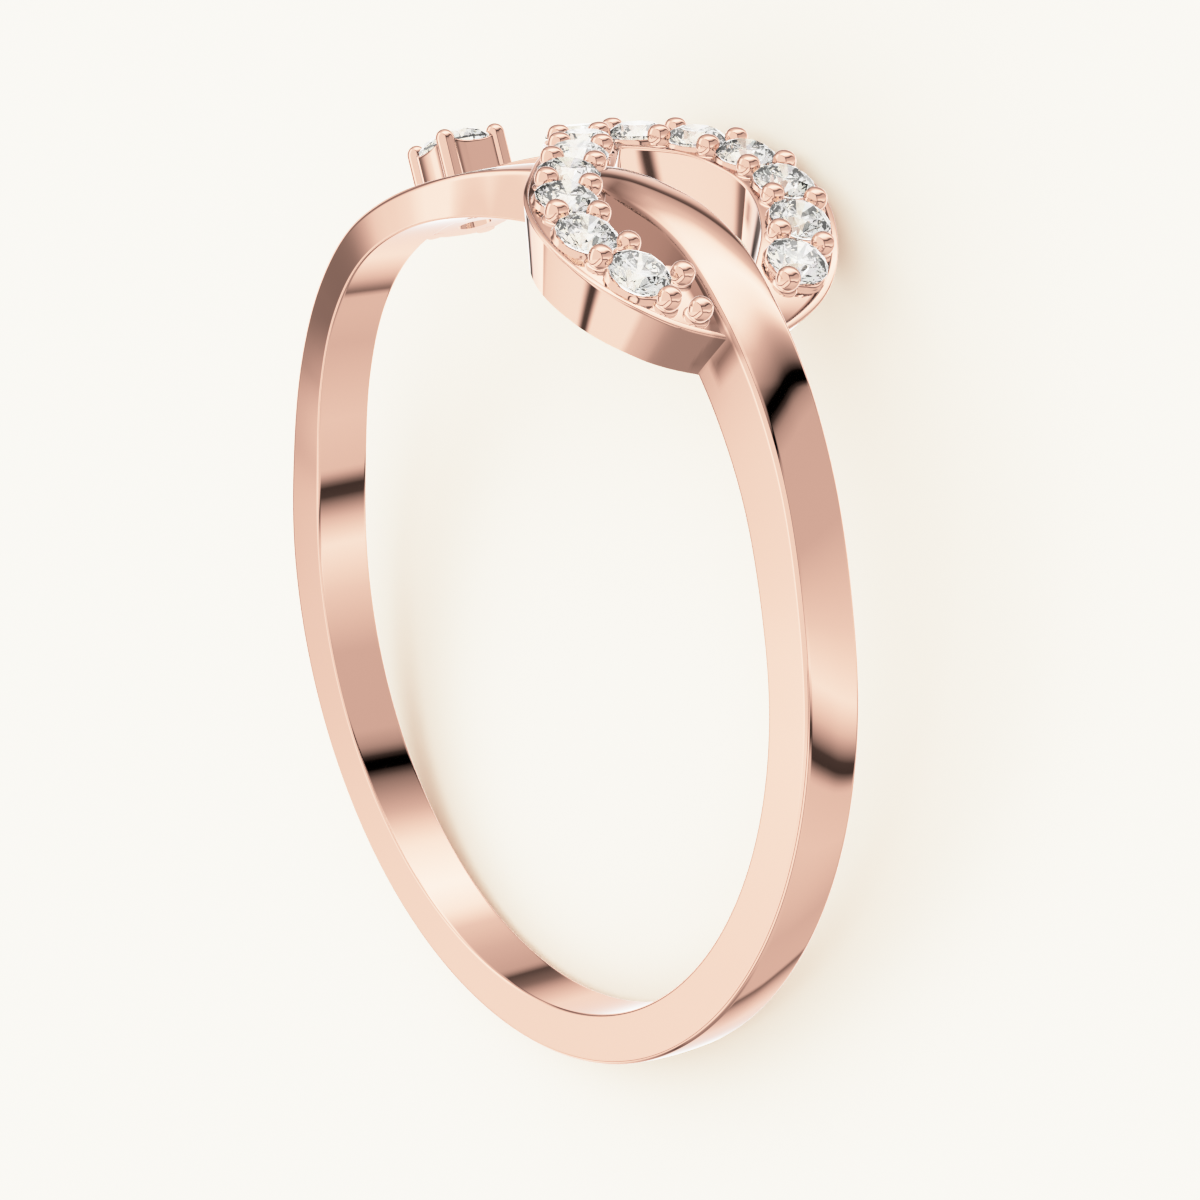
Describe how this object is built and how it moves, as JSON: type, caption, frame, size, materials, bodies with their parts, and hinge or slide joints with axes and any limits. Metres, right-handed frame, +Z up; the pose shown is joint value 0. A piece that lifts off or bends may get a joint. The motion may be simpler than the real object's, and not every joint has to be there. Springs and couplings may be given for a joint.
{
  "type": "knot ring",
  "caption": "Slim finger ring whose top swings aside as a plain ribbon under a stone-set loop, with a small round stone in prongs on one shoulder.",
  "frame": {"origin": "on the surface that the ring lies on, under the middle of the ring's outline box; millimetre-sized part, metres in the row", "axes": "+Z up from the surface that the ring lies on; +Y from the foot of the band towards the knot; +X towards the shoulder where the plain ribbon crosses over, away from the prong setting. The finger hole's axis leans 11 degrees from +Z, because the ring rests on its loop and the foot of its band."},
  "size_m": [0.019, 0.0196, 0.0068],
  "materials": {
    "rose_gold": "mirror-polished rose gold",
    "clear_stone": "clear faceted gemstone"
  },
  "bodies": {
    "root": {"ring_body": "rose_gold", "solitaire_stone": "clear_stone", "set_stone_01": "clear_stone", "set_stone_02": "clear_stone", "set_stone_03": "clear_stone", "set_stone_04": "clear_stone", "set_stone_05": "clear_stone", "set_stone_06": "clear_stone", "set_stone_07": "clear_stone", "set_stone_08": "clear_stone", "set_stone_09": "clear_stone", "set_stone_10": "clear_stone", "set_stone_11": "clear_stone", "set_stone_12": "clear_stone", "set_stone_13": "clear_stone"}
  },
  "joints": []
}
